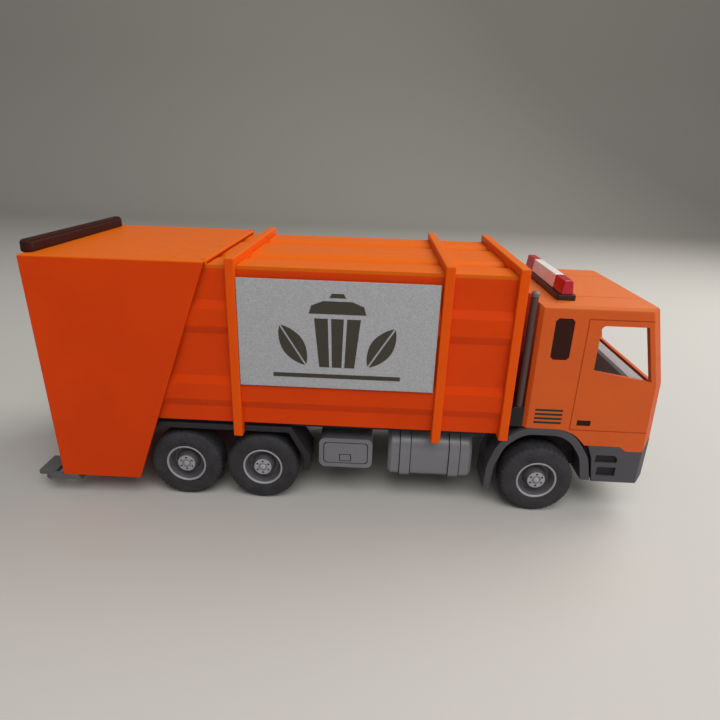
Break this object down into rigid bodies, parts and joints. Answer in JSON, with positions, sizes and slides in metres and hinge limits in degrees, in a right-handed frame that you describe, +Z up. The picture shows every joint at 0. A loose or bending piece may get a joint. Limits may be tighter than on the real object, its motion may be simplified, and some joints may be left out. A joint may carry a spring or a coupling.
{
  "type": "toy refuse collection truck",
  "caption": "Toy three-axle refuse truck: cab, ribbed load body, slanted rear hopper that hinges up, and a small bin lift at its sill.",
  "frame": {"origin": "on the ground, in the middle of the truck's overall length and width", "axes": "+X to the front of the truck, +Y to its left side, +Z up"},
  "size_m": [0.34, 0.112, 0.1416],
  "materials": {
    "bar_brown": "very dark brown plastic",
    "interior_grey": "light grey moulded plastic",
    "body_orange": "bright orange moulded plastic",
    "frame_grey": "dark grey moulded plastic",
    "cap_grey": "grey plastic",
    "stack_grey": "brown-grey plastic",
    "axle_steel": "plain drawn steel rod",
    "light_base_black": "black plastic",
    "rim_grey": "satin grey moulded wheel disc",
    "tyre_black": "soft black moulded tyre",
    "tank_silver": "light grey moulded plastic",
    "lamp_clear": "glossy clear-white plastic lens",
    "bucket_orange": "bright orange moulded plastic",
    "lift_grey": "mid grey moulded plastic",
    "lamp_red": "glossy red plastic lens",
    "board_white": "white finely grained plastic"
  },
  "bodies": {
    "truck": {"cab_interior": "interior_grey", "cab_shell": "body_orange", "chassis_frame": "frame_grey", "door_handles": "bar_brown", "engine_cover": "frame_grey", "exhaust_cap": "cap_grey", "exhaust_stack": "stack_grey", "front_bumper": "frame_grey", "front_fenders": "frame_grey", "front_grille": "light_base_black", "front_rib": "body_orange", "fuel_tanks": "tank_silver", "headlamps": "lamp_clear", "hinge_rod": "axle_steel", "light_bar_base": "light_base_black", "light_bar_clear": "lamp_clear", "light_bar_red": "lamp_red", "load_body": "body_orange", "middle_rib": "body_orange", "quarter_panels": "bar_brown", "rear_mudguards": "frame_grey", "rear_rib": "body_orange", "sign_boards": "board_white", "toolboxes": "tank_silver"},
    "front_wheels": {"front_axle": "axle_steel", "front_rims": "rim_grey", "front_tyres": "tyre_black"},
    "middle_wheels": {"middle_axle": "axle_steel", "middle_rims": "rim_grey", "middle_tyres": "tyre_black"},
    "rear_wheels": {"rear_axle": "axle_steel", "rear_rims": "rim_grey", "rear_tyres": "tyre_black"},
    "tailgate": {"bin_stop_bar": "bar_brown", "hopper_bucket": "bucket_orange", "hopper_shell": "body_orange", "loading_sill": "lift_grey"},
    "bin_lift": {"lift_forks": "lift_grey"}
  },
  "joints": [
    {"name": "front_wheels_turn", "type": "hinge", "parent": "truck", "child": "front_wheels", "pos_m": [0.11, 0, 0.02], "axis": [0, 1, 0], "continuous": true},
    {"name": "middle_wheels_turn", "type": "hinge", "parent": "truck", "child": "middle_wheels", "pos_m": [-0.0418, 0, 0.02], "axis": [0, 1, 0], "continuous": true},
    {"name": "rear_wheels_turn", "type": "hinge", "parent": "truck", "child": "rear_wheels", "pos_m": [-0.0849, 0, 0.02], "axis": [0, 1, 0], "continuous": true},
    {"name": "tailgate_lift", "type": "hinge", "parent": "truck", "child": "tailgate", "pos_m": [-0.06645, 0, 0.13425], "axis": [0, 1, 0], "range_deg": [0, 75]},
    {"name": "bin_lift_turn", "type": "hinge", "parent": "tailgate", "child": "bin_lift", "pos_m": [-0.1616, 0, 0.0104], "axis": [0, 1, 0], "range_deg": [0, 95]}
  ]
}
